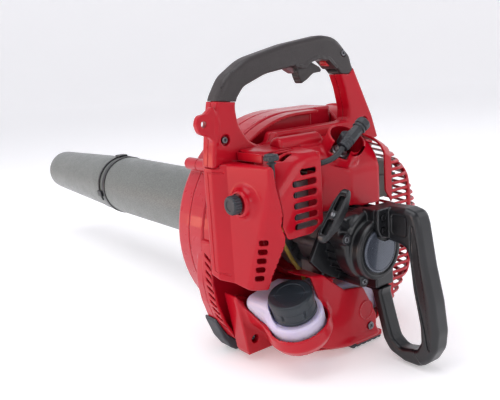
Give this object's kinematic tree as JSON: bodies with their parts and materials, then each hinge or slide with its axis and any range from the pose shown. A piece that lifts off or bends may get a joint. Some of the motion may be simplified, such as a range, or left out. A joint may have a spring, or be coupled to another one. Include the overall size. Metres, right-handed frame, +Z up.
{
  "type": "handheld leaf blower",
  "caption": "Handheld petrol leaf blower and vacuum with scroll fan housing, suction tube, recoil starter, fuel tank and a lower support handle.",
  "frame": {"origin": "under the middle of the machine's overall box, on the surface it stands on", "axes": "+X is the blowing direction, +Y runs along the crankshaft and suction tube away from the engine, +Z is up"},
  "size_m": [0.2826, 0.9062, 0.3511],
  "materials": {
    "red_shell": "glossy moulded red",
    "black_plastic": "satin black moulding",
    "soft_grip": "matte soft grip",
    "trigger_black": "satin",
    "lever_brown": "satin",
    "switch_red": "satin",
    "tube_grey": "fine textured grey",
    "white_nylon": "satin",
    "cap_slate": "satin slate",
    "tank_milky": "milky translucent",
    "cast_aluminium": "as cast",
    "steel": "machined",
    "seal_rubber": "matte rubber",
    "cable_sheath": "sheathed cable",
    "rope_nylon": "braided",
    "porcelain": "white insulator",
    "coil_resin": "resin",
    "brass": "turned",
    "filter_foam": "foam",
    "badge_plate": "satin grey disc",
    "fuel_hose": "amber hose"
  },
  "bodies": {
    "machine": {"fan_case_inner": "red_shell", "fan_case_outer": "red_shell", "outlet_collar": "red_shell", "inlet_collar": "black_plastic", "suction_tube_near": "tube_grey", "suction_tube_far": "tube_grey", "tube_joint_ring": "black_plastic", "tube_lock_band": "black_plastic", "base_plate": "red_shell", "handle_half_near": "red_shell", "handle_half_far": "red_shell", "grip_cover": "soft_grip", "throttle_cable": "cable_sheath", "crankcase_front": "cast_aluminium", "crankcase_rear": "cast_aluminium", "ball_bearings": "steel", "shaft_seals": "seal_rubber", "engine_cylinder": "cast_aluminium", "spark_plug": "porcelain", "plug_boot": "seal_rubber", "plug_lead": "seal_rubber", "ignition_coil": "coil_resin", "carburettor": "cast_aluminium", "air_filter": "filter_foam", "air_cleaner_cover": "red_shell", "muffler": "steel", "engine_cover": "red_shell", "cylinder_cover": "red_shell", "engine_guard": "red_shell", "starter_housing": "black_plastic", "starter_badge": "badge_plate", "recoil_spring": "steel", "fuel_tank": "tank_milky", "fuel_line": "fuel_hose", "tank_guard": "red_shell", "rubber_feet": "seal_rubber", "support_handle": "black_plastic", "case_screws": "steel", "starter_screws": "steel"},
    "crankshaft": {"crank_front": "steel", "crank_rear": "steel", "flywheel": "cast_aluminium", "impeller": "white_nylon", "impeller_nut": "steel", "starter_cup": "steel"},
    "piston_group": {"piston": "cast_aluminium", "wrist_pin": "steel"},
    "conrod_group": {"conrod": "steel", "crank_pin": "steel"},
    "trigger": {"throttle_trigger": "trigger_black"},
    "lever": {"cruise_lever": "lever_brown"},
    "stop_button": {"stop_switch": "switch_red"},
    "throttle": {"throttle_valve": "brass"},
    "choke_control": {"choke_knob": "black_plastic"},
    "choke_flap": {"choke_plate": "steel"},
    "cleaner_knob": {"cover_knob": "cap_slate"},
    "cap": {"fuel_cap": "cap_slate"},
    "recoil_handle": {"recoil_grip": "black_plastic", "recoil_rope": "rope_nylon"},
    "recoil_pulley": {"starter_pulley": "white_nylon"}
  },
  "joints": [
    {"name": "crank_spin", "type": "hinge", "parent": "machine", "child": "crankshaft", "pos_m": [0.01033, -0.31886, 0.13], "axis": [0, 1, 0], "continuous": true},
    {"name": "piston_slide", "type": "slide", "parent": "machine", "child": "piston_group", "axis": [0, 0, 1], "range_m": [-0.028, 0]},
    {"name": "conrod_swing", "type": "hinge", "parent": "piston_group", "child": "conrod_group", "pos_m": [0.01033, -0.31886, 0.194], "axis": [0, 1, 0], "range_deg": [-16, 16]},
    {"name": "trigger_pull", "type": "hinge", "parent": "machine", "child": "trigger", "pos_m": [-0.01167, -0.27986, 0.3265], "axis": [0, -1, 0], "range_deg": [0, 10], "stiffness_Nm_per_rad": 0.5, "springref_deg": -14.32},
    {"name": "cruise_lever_swing", "type": "hinge", "parent": "machine", "child": "lever", "pos_m": [-0.02067, -0.27986, 0.3232], "axis": [0, 1, 0], "range_deg": [0, 15]},
    {"name": "stop_button_press", "type": "slide", "parent": "machine", "child": "stop_button", "axis": [0, 0, 1], "range_m": [0, 0.002], "stiffness_N_per_m": 600, "springref_m": -0.002},
    {"name": "throttle_turn", "type": "hinge", "parent": "machine", "child": "throttle", "pos_m": [-0.04167, -0.31886, 0.19], "axis": [0, 0, 1], "range_deg": [0, 60]},
    {"name": "choke_lift", "type": "slide", "parent": "machine", "child": "choke_control", "axis": [0, 0, 1], "range_m": [0, 0.008]},
    {"name": "choke_turn", "type": "hinge", "parent": "machine", "child": "choke_flap", "pos_m": [-0.05717, -0.31886, 0.19], "axis": [0, 0, 1], "range_deg": [0, 76]},
    {"name": "cleaner_knob_turn", "type": "hinge", "parent": "machine", "child": "cleaner_knob", "pos_m": [-0.11967, -0.31886, 0.19], "axis": [-1, 0, 0], "continuous": true},
    {"name": "fuel_cap_turn", "type": "hinge", "parent": "machine", "child": "cap", "pos_m": [-0.07467, -0.34586, 0.073], "axis": [-0.3478, -0.1229, 0.9295], "range_deg": [0, 270]},
    {"name": "recoil_pull", "type": "slide", "parent": "machine", "child": "recoil_handle", "axis": [-0.7607, -0.2202, 0.6106], "range_m": [0, 0.6], "stiffness_N_per_m": 15, "springref_m": -0.3},
    {"name": "recoil_pulley_turn", "type": "hinge", "parent": "machine", "child": "recoil_pulley", "pos_m": [0.01033, -0.36886, 0.13], "axis": [0, 1, 0], "range_deg": [0, 1440]}
  ],
  "couplings": [
    {"joint": "throttle_turn", "follows": "trigger_pull", "ratio": 6},
    {"joint": "choke_turn", "follows": "choke_lift", "rad_per_m": 163.62},
    {"joint": "recoil_pulley_turn", "follows": "recoil_pull", "rad_per_m": 41.667}
  ]
}
